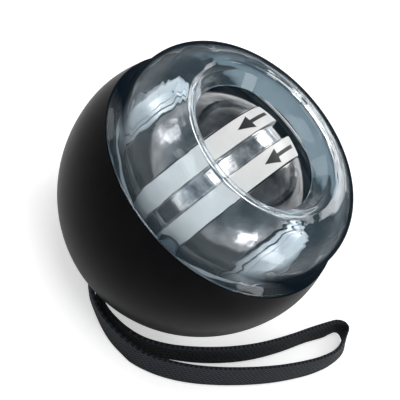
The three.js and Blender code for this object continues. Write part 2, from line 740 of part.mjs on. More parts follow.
add('rotor_core', 'chrome', rotorCore())
const band = stripeBand()
const dome = rotorDome()
add('stripe_band_right', 'white', band)
add('stripe_band_left', 'white', otherEnd(band))
add('rotor_dome_right', 'darkChrome', dome)
add('rotor_dome_left', 'darkChrome', otherEnd(dome))
add('axle', 'steel', axle())
add('ratchet_wheel', 'steel', ratchetWheel())

const trianglesOf = (mesh) => (mesh.geometry.index ?? mesh.geometry.attributes.position).count / 3
for (const mesh of ball.children) console.log(mesh.name, trianglesOf(mesh))
const triangles = ball.children.reduce((sum, mesh) => sum + trianglesOf(mesh), 0)
console.log('nodes', ball.children.length, 'triangles', triangles)

export default ball
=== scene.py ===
import math
import bpy
import bmesh
import numpy as np
from mathutils import Matrix


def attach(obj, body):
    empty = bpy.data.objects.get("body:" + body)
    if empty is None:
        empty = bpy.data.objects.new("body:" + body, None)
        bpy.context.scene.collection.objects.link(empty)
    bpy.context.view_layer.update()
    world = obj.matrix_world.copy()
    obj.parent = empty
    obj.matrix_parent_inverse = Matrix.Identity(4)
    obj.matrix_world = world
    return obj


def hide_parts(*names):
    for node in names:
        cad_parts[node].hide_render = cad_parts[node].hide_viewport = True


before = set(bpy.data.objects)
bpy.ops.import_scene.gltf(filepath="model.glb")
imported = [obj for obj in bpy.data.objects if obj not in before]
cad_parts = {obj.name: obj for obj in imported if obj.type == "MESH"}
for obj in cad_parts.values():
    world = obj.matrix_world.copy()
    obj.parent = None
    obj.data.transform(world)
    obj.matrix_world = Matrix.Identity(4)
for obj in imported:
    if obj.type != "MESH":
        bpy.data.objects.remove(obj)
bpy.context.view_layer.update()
print("frame loaded,", len(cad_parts), "nodes")

mm = 0.001
scene = bpy.context.scene

# sizes that several pieces share, in millimetres
ball = dict(tipRadius=1.5, axleHalf=30.7, cavity=29.4, raceRadius=32.0, raceHalf=1.85,
            outside=40.0)  # where cuts through the walls end
middleHeight, gap = 34.0, 0.3  # the ball's middle above the floor, and the clearance between pieces
axleBore = ball["tipRadius"] + gap
sharpDegrees = 35  # steeper edges than this stay sharp


# Camera: the photograph's view, rolled so that the ball's axis leans to the upper right
cameraSet = dict(azimuth=4.0, elevation=41.2, roll=40.85, distance=250.0, lens=90.0, sensor=36.0,
                 aimRight=-0.85, aimUp=-2.18,  # mm, sideways moves that frame the ball
                 clip=(0.01, 20.0))  # m


def leg(longest, other):
    # the third side of a right triangle, such as a ball's radius at a place along its axis
    return np.sqrt(longest ** 2 - other ** 2)


def unit(vectors):
    # each vector over its own length
    return vectors / np.linalg.norm(vectors, axis=-1, keepdims=True)


def viewAxes(azimuth, elevation, roll):
    # back points from the ball to the camera; right and up are level and upright, turned about it by the roll
    a, e, r = np.radians([azimuth, elevation, roll])
    back = np.array([np.sin(a) * np.cos(e), -np.cos(a) * np.cos(e), np.sin(e)])
    level = np.array([np.cos(a), np.sin(a), 0])
    upright = np.cross(back, level)
    right = np.sin(r) * level + np.cos(r) * upright
    up = np.sin(r) * upright - np.cos(r) * level
    return right, up, back


def addPlaced(name, data, right, up, back, place):
    # an object whose own x, y and z axes point along right, up and back, at a place in metres
    placed = bpy.data.objects.new(name, data)
    matrix = np.eye(4)
    matrix[:3, 0], matrix[:3, 1], matrix[:3, 2], matrix[:3, 3] = right, up, back, place
    placed.matrix_world = Matrix(matrix.tolist())
    scene.collection.objects.link(placed)
    return placed


def addCamera(s):
    # stands at the distance along back, moved sideways by the aim, and looks straight against back
    right, up, back = viewAxes(s["azimuth"], s["elevation"], s["roll"])
    place = back * s["distance"] + right * s["aimRight"] + up * s["aimUp"]
    place = (place + [0, 0, middleHeight]) * mm
    data = bpy.data.cameras.new("camera")
    data.lens, data.sensor_width = s["lens"], s["sensor"]
    data.clip_start, data.clip_end = s["clip"]
    scene.camera = addPlaced("camera", data, right, up, back, place)


addCamera(cameraSet)


# Materials

def fromHex(text):
    # sRGB hex to linear red, green, blue, alpha
    part = np.array([int(text[i:i + 2], 16) for i in (1, 3, 5)]) / 255
    linear = np.where(part <= 0.04045, part / 12.92, ((part + 0.055) / 1.055) ** 2.4)
    return (*linear, 1.0)


def addNode(tree, kind, inputs=None, stops=None, **settings):
    # inputs maps a socket's name or number to a value, to the output that feeds it, or to a node whose first
    # output does; stops fill a colour ramp
    node = tree.nodes.new("ShaderNode" + kind)
    for key, value in settings.items():
        setattr(node, key, value)
    for key, value in (inputs or {}).items():
        if isinstance(value, bpy.types.Node):
            value = value.outputs[0]
        if isinstance(value, bpy.types.NodeSocket):
            tree.links.new(value, node.inputs[key])
        else:
            node.inputs[key].default_value = value
    for number, (position, colour) in enumerate(stops or []):
        elements = node.color_ramp.elements
        element = elements[number] if number < 2 else elements.new(position)
        element.position, element.color = position, fromHex(colour)
    return node


def newMaterial(name):
    # a material with an empty node tree
    material = bpy.data.materials.new(name)
    material.use_nodes = True
    material.node_tree.nodes.clear()
    return material, material.node_tree


# sizes in mm; the painted-shade stops go by how slantingly a wall is seen, and the far stops give a second
# wall more painted shade
glassSet = dict(edgeShadeStops=[(0.4, "#fcfdfe"), (0.6, "#8497a1"), (0.78, "#16242e")],
                farWallShadeStops=[(0.25, "#7c8d96"), (0.55, "#2b3943")],
                facesPassed=1.5, bounces=0.5,  # between whole counts: past one wall, not yet reflected
                rimShadeHex="#08141d", rimShadeStart=0.42, rimEnd=0.74, rimShadeMost=0.97, volumeHex="#8fb4c2", density=40.0,
                ior=1.3, roughness=0.012, waveSize=8.0, waveDepth=0.42, lineSize=1.8, lineShare=0.2,
                shadowHex="#eef5f8", hazeHex="#b4d4e6", hazeShare=0.028, shadeFullRadius=23.5, shadeFreeRadius=18.5,
                footTop=50.0, footBase=44.5, footShadeGain=1.45)


def polycarbonateClear(s):
    # injection-moulded polycarbonate: clear and slightly blue; painted shade darkens its colour towards its
    # outline, where one looks along the wall, less in the funnel and more at the foot, and a painted dark rim
    # lies on the outline; a wall seen through another gets more painted shade; the mould leaves it faintly
    # wavy, with finer lines round the opening, which bend the reflections, and a thin haze of fine scratches
    # lies on it
    material, tree = newMaterial("clearPolycarbonate")
    point = addNode(tree, "TexCoord").outputs["Object"]
    fromAxis = addNode(tree, "VectorMath", {0: point, 1: (1.0, 1.0, 0.0)}, operation="MULTIPLY")
    radius = addNode(tree, "VectorMath", {0: fromAxis}, operation="LENGTH").outputs["Value"]
    height = addNode(tree, "SeparateXYZ", {"Vector": point}).outputs["Z"]
    wave = addNode(tree, "TexNoise", {"Vector": point, "Scale": 1 / (s["waveSize"] * mm), "Detail": 1.0})
    lines = addNode(tree, "TexNoise", {"W": radius, "Scale": 1 / (s["lineSize"] * mm), "Detail": 1.0},
                    noise_dimensions="1D")
    waves = addNode(tree, "Math", {0: lines, 1: s["lineShare"], 2: wave}, operation="MULTIPLY_ADD")
    relief = addNode(tree, "Bump", {"Height": waves, "Distance": s["waveDepth"] * mm})
    # painted shade: how much the outline darkens, none at the funnel's inner part, full further out and more
    # again at the foot
    thick = addNode(tree, "MapRange", {"Value": radius, "From Min": s["shadeFreeRadius"] * mm,
                                       "From Max": s["shadeFullRadius"] * mm}, interpolation_type="SMOOTHSTEP")
    foot = addNode(tree, "MapRange", {"Value": height, "From Min": s["footTop"] * mm,
                                      "From Max": s["footBase"] * mm, "To Min": 1.0,
                                      "To Max": s["footShadeGain"]}, interpolation_type="SMOOTHSTEP")
    shadePart = addNode(tree, "Math", {0: thick, 1: foot}, operation="MULTIPLY")
    facing = addNode(tree, "LayerWeight", {"Blend": 0.5}).outputs["Facing"]
    slant = addNode(tree, "Math", {0: facing, 1: shadePart}, operation="MULTIPLY")
    # painted shade: the colour darkens as the wall is seen more slantingly
    tone = addNode(tree, "ValToRGB", {"Fac": slant}, s["edgeShadeStops"])
    far = addNode(tree, "ValToRGB", {"Fac": slant}, s["farWallShadeStops"])
    path = addNode(tree, "LightPath").outputs
    # painted shade: a wall seen straight through another one gets the darker far stops as well
    second = addNode(tree, "Math", {0: path["Transmission Depth"], 1: s["facesPassed"]},
                     operation="GREATER_THAN")
    bounced = addNode(tree, "Math", {0: path["Diffuse Depth"], 1: path["Glossy Depth"]}, operation="ADD")
    straight = addNode(tree, "Math", {0: bounced, 1: s["bounces"]}, operation="LESS_THAN")
    behind = addNode(tree, "Math", {0: second, 1: straight}, operation="MULTIPLY")
    walls = addNode(tree, "MixRGB", {0: behind, 1: tone, 2: far}, blend_type="MULTIPLY")
    glass = addNode(tree, "BsdfPrincipled", {"Base Color": walls, "Roughness": s["roughness"],
                                             "IOR": s["ior"], "Transmission Weight": 1.0, "Normal": relief})
    scratches = addNode(tree, "BsdfDiffuse", {"Color": fromHex(s["hazeHex"])})
    hazy = addNode(tree, "MixShader", {0: s["hazeShare"], 1: glass, 2: scratches})
    # painted shade: a dark matt layer laid over the outline, growing as the wall is seen more slantingly
    rim = addNode(tree, "BsdfDiffuse", {"Color": fromHex(s["rimShadeHex"])})
    rimShare = addNode(tree, "MapRange", {"Value": slant, "From Min": s["rimShadeStart"], "From Max": s["rimEnd"],
                                          "To Max": s["rimShadeMost"]}, interpolation_type="SMOOTHSTEP")
    edged = addNode(tree, "MixShader", {0: rimShare, 1: hazy, 2: rim})
    passing = addNode(tree, "BsdfTransparent", {"Color": fromHex(s["shadowHex"])})
    surface = addNode(tree, "MixShader", {0: path["Is Shadow Ray"], 1: edged, 2: passing})
    tint = addNode(tree, "VolumeAbsorption", {"Color": fromHex(s["volumeHex"]), "Density": s["density"]})
    addNode(tree, "OutputMaterial", {"Surface": surface, "Volume": tint})
    return material


def addGlossy(tree, colourBy, stops, glossBy, roughness, height, depthMm, **extra):
    # the surface of moulded and metal: a colour from the stops, a roughness between the two values, a relief
    colour = addNode(tree, "ValToRGB", {"Fac": colourBy}, stops)
    gloss = addNode(tree, "MapRange", {"Value": glossBy, "To Min": roughness[0], "To Max": roughness[1]})
    relief = addNode(tree, "Bump", {"Height": height, "Distance": depthMm * mm})
    surface = addNode(tree, "BsdfPrincipled", {"Base Color": colour, "Roughness": gloss, "Normal": relief,
                                               **extra})
    addNode(tree, "OutputMaterial", {"Surface": surface})


def moulded(name, colours, roughness, grainMm, depthMm, **extra):
    # moulded plastic or rubber: a fine mould grain breaks the gloss, the roughness wanders between its two
    # values over 9 grains, and the colour drifts faintly over 24
    material, tree = newMaterial(name)
    point = addNode(tree, "TexCoord").outputs["Object"]
    drift, patch, grain = [addNode(tree, "TexNoise", {"Vector": point, "Scale": 1 / (grains * grainMm * mm)})
                           for grains in (24, 9, 1)]
    stops = [(0.35, colours[0]), (0.65, colours[1])]
    addGlossy(tree, drift, stops, patch, roughness, grain, depthMm, **extra)
    return material


def metal(name, colours, roughness, lineMm, depthMm, cloudMm=3.0, cloudWeight=1.0):
    # turned or plated metal: fine tool lines run round the axle, and the plating clouds softly in its colour
    # and its surface; cloudWeight is the clouds' height as a multiple of the lines'
    material, tree = newMaterial(name)
    point = addNode(tree, "TexCoord").outputs["Object"]
    along = addNode(tree, "SeparateXYZ", {"Vector": point})
    lines = addNode(tree, "TexNoise", {"W": along, "Scale": 1 / (lineMm * mm), "Detail": 2.0},
                    noise_dimensions="1D")
    cloud = addNode(tree, "TexNoise", {"Vector": point, "Scale": 1 / (cloudMm * mm), "Detail": 3.0})
    height = addNode(tree, "Math", {0: cloud, 1: cloudWeight, 2: lines}, operation="MULTIPLY_ADD")
    stops = [(0.3, colours[0]), (0.7, colours[1])]
    addGlossy(tree, cloud, stops, lines, roughness, height, depthMm, Metallic=1.0)
    return material


def polyesterWebbing(s):
    # plain-woven polyester tape: ribs across it and threads along it cross over and under each other, with
    # fuzzy dark fibres and painted shade in the weave's hollows; drawn a little coarser than real so that the
    # weave shows
    material, tree = newMaterial("polyesterWebbing")
    uv = addNode(tree, "UVMap", uv_map="alongAcross")
    place = addNode(tree, "SeparateXYZ", {"Vector": uv}).outputs
    waves = []
    for way, spacing in (("X", s["ribSpacing"]), ("Y", s["threadSpacing"])):
        turn = addNode(tree, "Math", {0: place[way], 1: math.pi / (spacing * mm)}, operation="MULTIPLY")
        waves.append(addNode(tree, "Math", {0: turn}, operation="SINE"))
    over = addNode(tree, "Math", {0: waves[0], 1: waves[1]}, operation="MULTIPLY")
    weave = addNode(tree, "MapRange", {"Value": over, "From Min": -1.0})
    fuzz = addNode(tree, "TexNoise", {"Vector": uv, "Scale": 1 / (s["fuzzSize"] * mm), "Detail": 3.0})
    height = addNode(tree, "Math", {0: weave, 1: fuzz}, operation="ADD")
    half = addNode(tree, "Math", {0: height, 1: 0.5}, operation="MULTIPLY")
    # the tape's own dark navy, with painted shade: the colour follows the weave's height, darker in the
    # hollows and lighter on the raised threads
    colour = addNode(tree, "ValToRGB", {"Fac": half}, s["weaveShadeStops"])
    relief = addNode(tree, "Bump", {"Height": height, "Distance": s["weaveDepth"] * mm})
    surface = addNode(tree, "BsdfPrincipled", {
        "Base Color": colour, "Roughness": s["roughness"], "Specular IOR Level": s["specular"],
        "Sheen Weight": s["sheen"], "Sheen Roughness": s["sheenRoughness"], "Normal": relief})
    addNode(tree, "OutputMaterial", {"Surface": surface})
    return material


clearPolycarbonate = polycarbonateClear(glassSet)
smokedCup = moulded("smokedPolycarbonate", ("#2b353b", "#3a464d"), (0.06, 0.14), 0.6, 0.02)
siliconeRubber = moulded("siliconeRubber", ("#040406", "#08080a"), (0.28, 0.36), 0.22, 0.012,
                         **{"IOR": 1.22, "Specular IOR Level": 0.22})
silverAbs = moulded("silverPaintedAbs", ("#ced5da", "#f0f3f5"), (0.14, 0.3), 0.3, 0.06, Metallic=0.25)
whiteAbs = moulded("whiteAbs", ("#e4e4e3", "#ebebea"), (0.3, 0.42), 0.3, 0.006)
printInk = moulded("blackPrintInk", ("#161616", "#1c1c1c"), (0.45, 0.6), 0.2, 0.004)
naturalNylon = moulded("naturalNylon", ("#d0d4d4", "#dadddd"), (0.35, 0.5), 0.35, 0.01)
acetal = moulded("blackAcetal", ("#232425", "#2a2b2c"), (0.3, 0.42), 0.3, 0.008)
chromedZinc = metal("chromedZinc", ("#9b9da1", "#f8f9fa"), (0.06, 0.2), 0.25, 0.075, cloudMm=2.2)
polishedZinc = metal("polishedZinc", ("#5e5c5d", "#a9a8a8"), (0.12, 0.22), 0.5, 0.006, cloudMm=4.5,
                     cloudWeight=42.0)
turnedSteel = metal("turnedSteel", ("#9b9ea2", "#b4b7bb"), (0.2, 0.34), 0.12, 0.006)
sinteredBronze = metal("sinteredBronze", ("#8a6738", "#a67f4c"), (0.35, 0.5), 0.2, 0.012)
bluedSpringSteel = metal("bluedSpringSteel", ("#323b49", "#46525f"), (0.22, 0.35), 0.15, 0.004)
print("materials made")


# Surfaces

def roundedOutline(rows, steps=5):
    # each row is along, radius, fillet: a corner becomes an arc tangent to its two sides, in a closed outline
    table = np.array(rows, float)
    corner, fillet = table[:, :2], table[:, 2]
    before, after = np.roll(corner, 1, 0) - corner, np.roll(corner, -1, 0) - corner
    lengthBefore, lengthAfter = np.linalg.norm(before, axis=1), np.linalg.norm(after, axis=1)
    before, after = before / lengthBefore[:, None], after / lengthAfter[:, None]
    half = np.arccos(np.clip((before * after).sum(1), -1, 1)) / 2
    reach = np.minimum(fillet / np.tan(half), 0.49 * np.minimum(lengthBefore, lengthAfter))
    radius = reach * np.tan(half)
    middle = before + after
    middle /= np.maximum(np.linalg.norm(middle, axis=1), 1e-9)[:, None]
    centre = corner + middle * (radius / np.sin(half))[:, None]
    start, end = corner + before * reach[:, None] - centre, corner + after * reach[:, None] - centre
    share = np.linspace(0, 1, steps + 1)[None, :, None]
    turn = np.maximum(math.pi - 2 * half, 1e-6)[:, None, None]
    mix = (np.sin((1 - share) * turn) * start[:, None] + np.sin(share * turn) * end[:, None]) / np.sin(turn)
    points = (centre[:, None] + mix).reshape(-1, 2)
    moved = np.linalg.norm(points - np.roll(points, 1, 0), axis=1) > 1e-4
    return points[moved]


def arcRows(centreAlong, centreRadius, radius, fromDegrees, toDegrees, steps):
    # points of a circle in the outline's plane; the angle is measured from the radius direction towards along
    a = np.radians(np.linspace(fromDegrees, toDegrees, steps + 1))
    return np.stack([centreAlong + radius * np.sin(a), centreRadius + radius * np.cos(a), 0 * a], 1).tolist()


def ballRows(radius, start, end, steps):
    # points of a ball about the middle, from one place along its axis to another
    along = np.linspace(start, end, steps + 1)
    return np.stack([along, leg(radius, along), 0 * along], 1).tolist()


def gridFaces(rows, columns, wrapRows, wrapColumns):
    # quads between neighbouring points of a grid, closed round where asked
    index = np.arange(rows * columns).reshape(rows, columns)
    right, down = np.roll(index, -1, 1), np.roll(index, -1, 0)
    corner = np.roll(right, -1, 0)
    quads = np.stack([index, down, corner, right], -1)
    quads = quads if wrapRows else quads[:-1]
    quads = quads if wrapColumns else quads[:, :-1]
    return quads.reshape(-1, 4)


def surfaceMesh(name, points, faces, outward=True):
    # points in millimetres and faces as rows of point numbers; doubles are merged and faces turned outwards
    mesh = bpy.data.meshes.new(name)
    rows = faces.tolist() if isinstance(faces, np.ndarray) else faces
    mesh.from_pydata((np.asarray(points) * mm).tolist(), [], rows)
    work = bmesh.new()
    work.from_mesh(mesh)
    bmesh.ops.remove_doubles(work, verts=work.verts, dist=1e-7)
    bmesh.ops.dissolve_degenerate(work, edges=work.edges, dist=1e-8)
    if outward:
        bmesh.ops.recalc_face_normals(work, faces=work.faces)
    work.to_mesh(mesh)
    work.free()
    return mesh


def markSharp(mesh, degrees):
    # smooth shading, broken at the edges that bend by more than this
    mesh.shade_smooth()
    mesh.set_sharp_from_angle(angle=math.radians(degrees))


def newPiece(name, points, faces, body, material, node=None, slot=None, degrees=sharpDegrees, outward=True):
    # a mesh becomes a piece: it gets its material, rides on its body and stands for the CAD node it replaces
    mesh = surfaceMesh(name, points, faces, outward)
    markSharp(mesh, degrees)
    piece = bpy.data.objects.new(name, mesh)
    scene.collection.objects.link(piece)
    mesh.materials.append(material)
    if body:
        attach(piece, body)
    if node:
        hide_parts(node)
    return piece


def turnedSolid(rows, axis, steps):
    # the rounded outline carried once round the axis: along it by the first number, off it by the second
    outline = roundedOutline(rows)
    a = np.linspace(0, 2 * math.pi, steps, endpoint=False)[:, None]
    along, radius = outline[None, :, 0], outline[None, :, 1]
    if axis == "Z":
        points = np.stack([radius * np.cos(a), radius * np.sin(a), along + middleHeight + 0 * a], -1)
    else:
        points = np.stack([along + 0 * a, radius * np.sin(a), radius * np.cos(a) + middleHeight], -1)
    return points.reshape(-1, 3), gridFaces(steps, len(outline), True, True)


def turned(name, rows, axis, steps, body, material, offset=(0, 0, 0), **more):
    # a piece from a turned solid, moved by the offset
    points, faces = turnedSolid(rows, axis, steps)
    return newPiece(name, points + offset, faces, body, material, **more)


def endRows(rows, sign):
    # the outline as it is on the +X end, mirrored on the other
    return rows if sign > 0 else [[-along, radius, fillet] for along, radius, fillet in rows][::-1]


def boxPoints(start, end):
    # the eight corners between two opposite ones, in either order, and the six faces over them
    x, y, z = np.meshgrid(*np.sort([start, end], axis=0).T, indexing="ij")
    points = np.stack([x, y, z], -1).reshape(-1, 3)
    faces = [[0, 1, 3, 2], [4, 6, 7, 5], [0, 4, 5, 1], [2, 3, 7, 6], [0, 2, 6, 4], [1, 5, 7, 3]]
    return points, faces


def rodPoints(radius, start, end, steps=24):
    # a round bar from start to end, with its two flat ends as fans
    start, end = np.array(start, float), np.array(end, float)
    axis = unit(end - start)
    side = unit(np.cross(axis, [0.31, 0.87, 0.39]))  # any direction that isn't along the bar
    other = np.cross(axis, side)
    a = np.linspace(0, 2 * math.pi, steps, endpoint=False)[:, None]
    ring = radius * (np.cos(a) * side + np.sin(a) * other)
    points = np.concatenate([start + ring, end + ring])
    faces = gridFaces(2, steps, False, True).tolist()
    return points, faces + [list(range(steps))[::-1], list(range(steps, 2 * steps))]


def cutOut(piece, solids):
    # takes closed solids out of a piece, each given as points and faces in millimetres, and marks the sharp
    # edges again
    cutters = []
    for points, faces in solids:
        cutter = bpy.data.objects.new("cutter", surfaceMesh("cutter", points, faces))
        scene.collection.objects.link(cutter)
        cutters.append(cutter)
        modifier = piece.modifiers.new("cut", "BOOLEAN")
        modifier.operation, modifier.solver, modifier.object = "DIFFERENCE", "EXACT", cutter
    graph = bpy.context.evaluated_depsgraph_get()
    mesh = bpy.data.meshes.new_from_object(piece.evaluated_get(graph))
    whole = piece.data
    piece.modifiers.clear()
    piece.data = mesh
    mesh.name = whole.name
    markSharp(mesh, sharpDegrees)
    bpy.data.meshes.remove(whole)
    for cutter in cutters:
        mesh = cutter.data
        bpy.data.objects.remove(cutter)
        bpy.data.meshes.remove(mesh)


# Wrist strap
strapSet = dict(width=7.0, thick=1.0, floorGap=0.1, tension=0.5, rings=520, exitPlace=-19.4, exitHeight=4.85,
                sectionSteps=22, roundedShare=0.06,  # the rounded edge's share of the half width
                flatThickness=0.86, selvedgePlace=0.9, selvedgeSpan=0.07,
                ribSpacing=0.8, threadSpacing=0.6, fuzzSize=0.45, weaveDepth=0.2,
                weaveShadeStops=[(0.3, "#040507"), (0.55, "#0f131b"), (0.75, "#222b3a")],
                roughness=0.7, specular=0.2, sheen=0.06, sheenRoughness=0.4)
# each row is x, y, lift of the lower edge off the floor, and lean of the top edge in degrees
strapRoute = [
    [-1.9, -14.0, 1.25, 0], [-1.9, -15.8, 1.25, 0], [-1.6, -17.6, 1.2, 0],
    [-0.7, -19.8, 0.9, -10], [0.9, -21.7, 0.5, -22], [3.4, -23.4, 0.1, -30], [7.2, -24.8, 0, -30],
    [11.0, -25.6, 0, -24], [15.0, -25.7, 0, -16], [19.2, -24.9, 0, -9], [23.3, -23.4, 0, -2],
    [29.5, -18.6, 0, 8], [36.0, -11.4, 0, 14], [43.2, -1.0, 0, 18], [50.2, 11.2, 0, 20],
    [55.6, 23.0, 0, 20], [58.3, 31.0, 0, 20], [59.2, 36.0, 0, 23], [59.2, 40.2, 0, 31],
    [58.8, 43.0, 0, 33], [57.8, 45.2, 0, 31], [56.1, 46.1, 0, 22], [54.4, 45.3, 0, 0],
    [53.0, 43.0, 0, -14], [52.0, 40.0, 0, -19], [49.4, 32.5, 0, -17], [46.0, 21.5, 0, -18],
    [42.0, 10.8, 0, -17],
    [37.6, 1.8, 0, -14], [32.7, -6.3, 0, -9], [27.5, -13.3, 0, -2], [23.2, -17.9, 0, 4],
    [18.8, -21.2, 0, 11], [14.0, -22.9, 0, 19], [9.2, -23.1, 0, 27], [5.6, -22.3, 0.1, 29],
    [3.2, -20.9, 0.4, 22], [2.0, -19.0, 0.9, 10], [1.7, -17.3, 1.2, 0],
    [1.9, -15.8, 1.25, 0], [1.9, -14.0, 1.25, 0],
]


def splinePoints(rows, tension, count):
    # Catmull-Rom through the rows, sampled at equal lengths of its first three columns
    ends = np.vstack([2 * rows[0] - rows[1], rows, 2 * rows[-1] - rows[-2]])
    t = np.linspace(0, len(rows) - 1, 40 * len(rows))
    low = np.minimum(t.astype(int), len(rows) - 2)
    u = (t - low)[:, None]
    p0, p1, p2, p3 = ends[low], ends[low + 1], ends[low + 2], ends[low + 3]
    m1, m2 = tension * (p2 - p0), tension * (p3 - p1)
    line = ((2 * u ** 3 - 3 * u ** 2 + 1) * p1 + (u ** 3 - 2 * u ** 2 + u) * m1
            + (3 * u ** 2 - 2 * u ** 3) * p2 + (u ** 3 - u ** 2) * m2)
    step = np.linalg.norm(np.diff(line[:, :3], axis=0), axis=1)
    run = np.concatenate([[0], np.cumsum(step)])
    even = np.linspace(0, run[-1], count)
    return np.stack([np.interp(even, run, line[:, k]) for k in range(line.shape[1])], 1), run[-1]


def makeStrap(s):
    # a flat band carried along the route: its width stands upright and leans by the row's angle;
    # the section is a flat oval box, a little thicker at the two selvedges
    rows = np.array(strapRoute)
    lean = np.radians(np.abs(rows[:, 3]))
    half = (s["width"] * np.cos(lean) + s["thick"] * np.sin(lean)) / 2
    rows[:, 2] += half + s["floorGap"]
    line, length = splinePoints(rows, s["tension"], s["rings"])
    path, turn = line[:, :3], np.radians(line[:, 3])[:, None]
    tangent = unit(np.gradient(path, axis=0))
    side = unit(np.cross(tangent, [0, 0, 1.0]))
    up = np.cross(side, tangent)
    width = up * np.cos(turn) - side * np.sin(turn)
    across = np.cross(tangent, width)
    v = np.linspace(-1, 1, s["sectionSteps"])
    edge = np.clip((1 - np.abs(v)) / s["roundedShare"], 0, 1) ** 0.5
    selvedge = np.exp(-((np.abs(v) - s["selvedgePlace"]) / s["selvedgeSpan"]) ** 2)
    thickness = edge * (s["flatThickness"] + (1 - s["flatThickness"]) * selvedge)
    sectionWidth = np.concatenate([v, v[::-1]]) * s["width"] / 2
    sectionThick = np.concatenate([thickness, -thickness[::-1]]) * s["thick"] / 2
    points = (path[:, None] + sectionWidth[None, :, None] * width[:, None]
              + sectionThick[None, :, None] * across[:, None])
    count = len(sectionWidth)
    faces = gridFaces(s["rings"], count, False, True).tolist()
    ends = [list(range(count)), list(range((s["rings"] - 1) * count, s["rings"] * count))[::-1]]
    strap = newPiece("wristStrap", points.reshape(-1, 3), faces + ends, "housing", polyesterWebbing(s),
                     node="wrist_strap", slot="webbing", degrees=60)
    place = np.empty(len(strap.data.vertices) * 3)
    strap.data.vertices.foreach_get("co", place)
    place = place.reshape(-1, 3) / mm
    nearest = np.argmin(np.linalg.norm(place[:, None] - path[None, ::2], axis=2), axis=1) * 2
    away = place - path[nearest]
    along = nearest / (s["rings"] - 1) * length + (away * tangent[nearest]).sum(1)
    fromMiddle = (away * width[nearest]).sum(1)
    layer = strap.data.uv_layers.new(name="alongAcross")
    corner = np.empty(len(strap.data.loops), int)
    strap.data.loops.foreach_get("vertex_index", corner)
    layer.data.foreach_set("uv", (np.stack([along[corner], fromMiddle[corner]], 1) * mm).ravel())
    print("strap made, length", round(length, 1), "mm")


makeStrap(strapSet)


# Grip cover's sizes, which the shells follow

coverSet = dict(radius=36.0, depth=38.4, crown=30.5, top=9.9, wall=2.0, edge=0.7, foot=1.5, power=1.94,
                bead=0.25, recess=0.6, recessRadius=11.0, windowLeft=4.8, windowRight=6.5, windowTop=8.9,
                windowBack=12.0, windowFoot=-5.0,
                thinFrom=0.85)  # share of the top's height where the wall thins


def crownRadius(z):
    # radius of the cover's outside above the equator: an ellipse
    return coverSet["radius"] * np.sqrt(1 - (z / coverSet["crown"]) ** 2)


def bowlRows(radius, depth, start, end, steps):
    # the lower body's rounded outline, between a circle and a square, from one height to another
    a = np.linspace(*[np.arcsin((-z / depth) ** (coverSet["power"] / 2)) for z in (start, end)], steps + 1)
    r = radius * np.cos(a) ** (2 / coverSet["power"])
    z = -depth * np.sin(a) ** (2 / coverSet["power"])
    return np.stack([z, r, 0 * a], 1).tolist()


# Clear upper shell

shellSet = dict(wallRadius=32.07, wall=1.5, shoulderRadius=10.2, rimRadius=3.0, funnelLength=3.9,
                funnelAngle=60.0, mouthHeight=21.2, flareHeight=4.3, flareInside=0.5, edgeGap=0.12,
                edgeBead=0.2, lip=0.45, lipFillet=0.16, raceLip=1.0, lapMiddle=32.85, lapRadius=33.6,
                lapDepth=2.5)


def flareRows(radius, widening, top, foot, steps=12):
    # down the base of the wall, which widens with the square of the way down
    down = np.linspace(0, 1, steps + 1)
    return np.stack([top + (foot - top) * down, radius + widening * down ** 2, 0 * down], 1).tolist()


def makeUpperShell(s):
    # the clear dome's outline: skirt under the cover, base that widens to the cover's edge, upright wall,
    # round shoulder, rounded top rim, straight funnel down to the thumb opening, and the same again inside
    outer, bend, rim, wall = s["wallRadius"], s["shoulderRadius"], s["rimRadius"], s["wall"]
    middle, angle, slope = outer - bend, s["funnelAngle"], math.radians(s["funnelAngle"])
    rimTop = s["mouthHeight"] + s["funnelLength"] * math.sin(slope) + rim * (1 - math.cos(slope))
    mouth = middle - rim * math.sin(slope) - s["funnelLength"] * math.cos(slope)
    foot, flush = coverSet["top"] + s["edgeGap"], crownRadius(coverSet["top"])
    edge, flareTop = flush - coverSet["edge"], foot + s["flareHeight"]
    race, lipTop, lap = ball["raceHalf"], ball["raceHalf"] + s["raceLip"], s["lapMiddle"] + gap / 2
    skirt = [[z, crownRadius(z) - coverSet["wall"] - gap, 0]
             for z in np.linspace(0, coverSet["top"] * coverSet["thinFrom"], 12)[1:]]
    rows = [
        [gap / 2, ball["raceRadius"], 0.1], [gap / 2, lap, 0.1],
        [-s["lapDepth"], lap, 0.1], [-s["lapDepth"], s["lapRadius"], 0.15],
        *skirt,
        [foot - gap / 2, edge - gap, 0.1], [foot, edge, 0.1], [foot, flush, s["edgeBead"]],
        *flareRows(outer, flush - outer, flareTop, foot + s["edgeBead"])[::-1],
        *arcRows(rimTop - bend, middle, bend, 0, 90, 40),
        *arcRows(rimTop - rim, middle, rim, 90, 90 + angle, 16)[1:],
        [s["mouthHeight"], mouth, s["lipFillet"]],
        [s["mouthHeight"] - s["lip"] * math.cos(slope), mouth + s["lip"] * math.sin(slope), s["lipFillet"]],
        *arcRows(rimTop - rim, middle, rim - wall, 90 + angle, 90, 12)[:-1],
        *arcRows(rimTop - bend, middle, bend - wall, 90, 0, 34),
        *flareRows(outer - wall, s["flareInside"], flareTop, foot),
        [lipTop + s["raceLip"], outer - wall + s["flareInside"], 1.0],
        [lipTop, ball["cavity"], 0.5], [race, ball["cavity"], 0.25], [race, ball["raceRadius"], 0.3],
    ]
    turned("upperShell", rows, "Z", 288, "housing", clearPolycarbonate, node="upper_shell",
           slot="clear_shell", degrees=50)


makeUpperShell(shellSet)


# Moulded half disc at the foot of the clear wall

discSet = dict(radius=2.9, show=1.6, rim=0.3, turn=-78.5,
               inside=0.05, crowding=0.7)  # inside: mm back from the cover's edge circle


